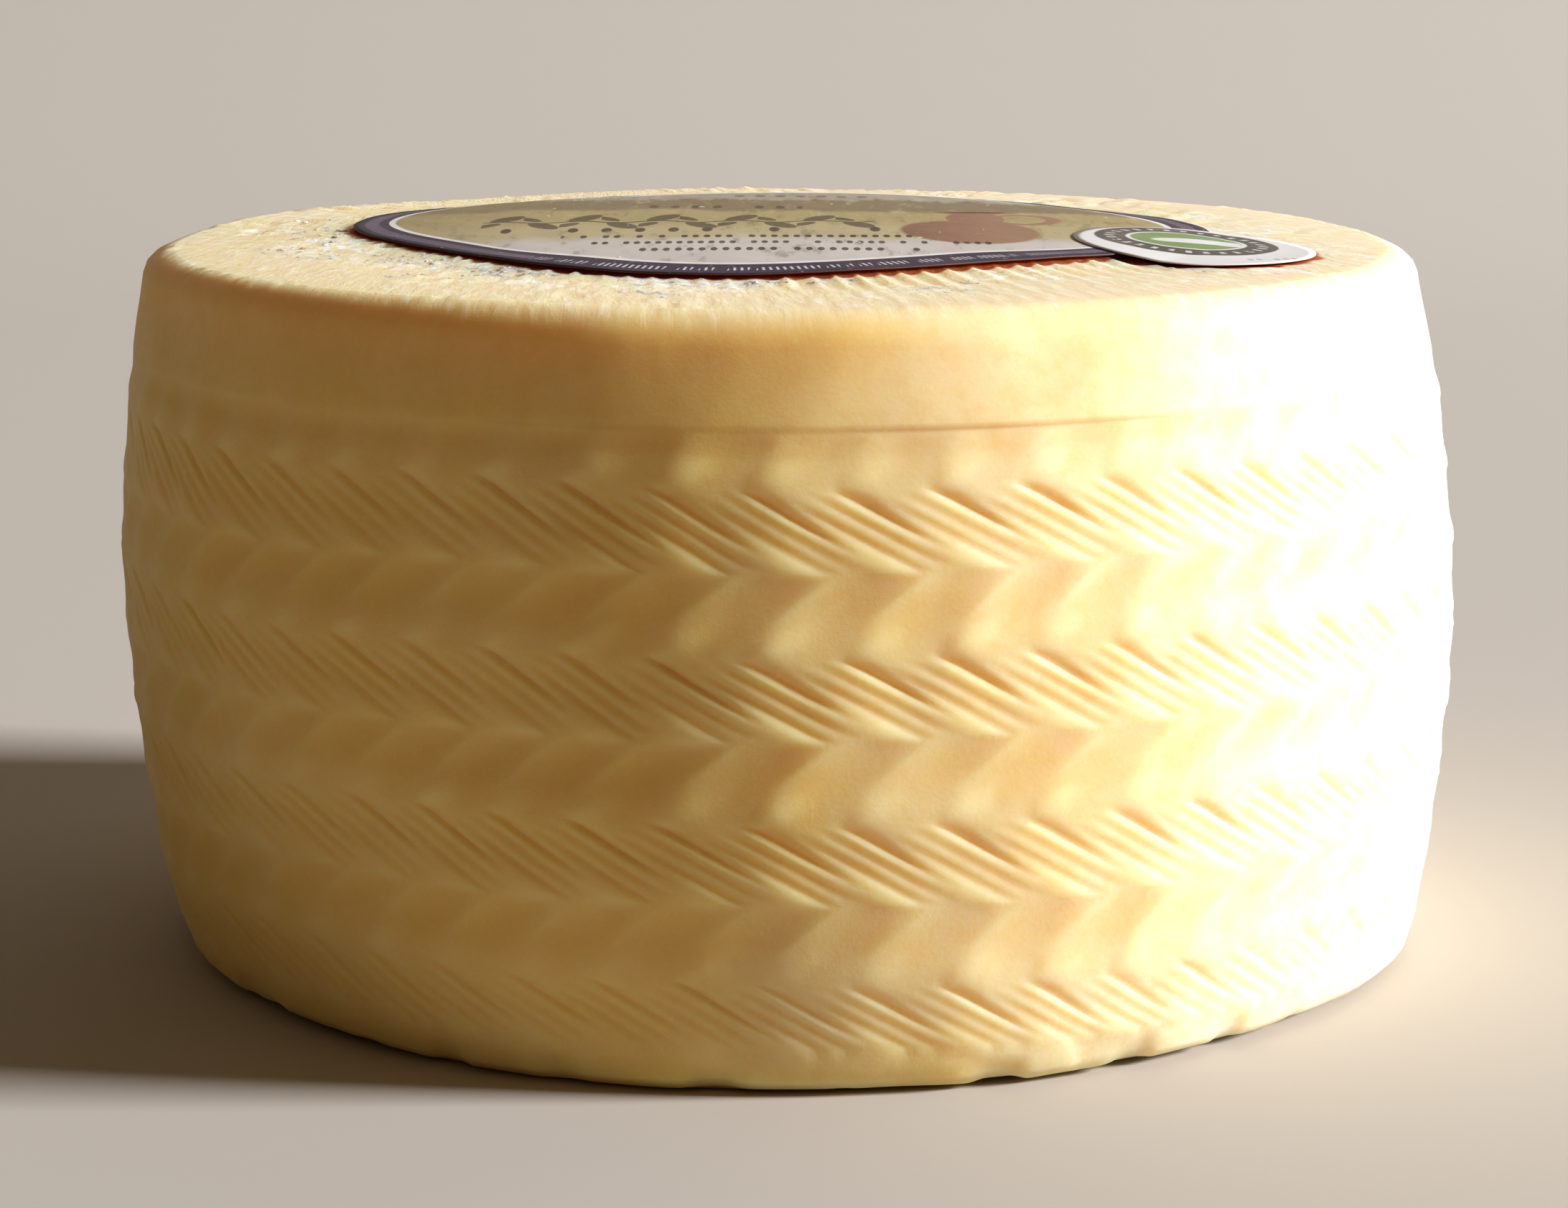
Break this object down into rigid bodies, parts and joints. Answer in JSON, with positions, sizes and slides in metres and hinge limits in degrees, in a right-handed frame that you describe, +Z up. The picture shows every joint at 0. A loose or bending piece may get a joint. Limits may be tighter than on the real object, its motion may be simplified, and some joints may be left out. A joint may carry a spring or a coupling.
{
  "type": "cheese wheel",
  "caption": "Whole pressed cheese wheel with barrel sides, a plaited band pressed into the rind, a round paper label and a small oval seal on top.",
  "frame": {"origin": "centre of the base, on the surface that the wheel stands on", "axes": "+Z up along the wheel's axis, -Y towards the side seen in the front view, +X to its right"},
  "size_m": [0.19, 0.19, 0.1021],
  "materials": {
    "rind": "waxy ivory-yellow cheese rind, slightly translucent, satin",
    "label_paper": "printed coated paper, satin",
    "seal_paper": "printed glossy sticker"
  },
  "bodies": {
    "root": {"cheese_wheel": "rind", "main_label": "label_paper", "oval_seal": "seal_paper"}
  },
  "joints": []
}
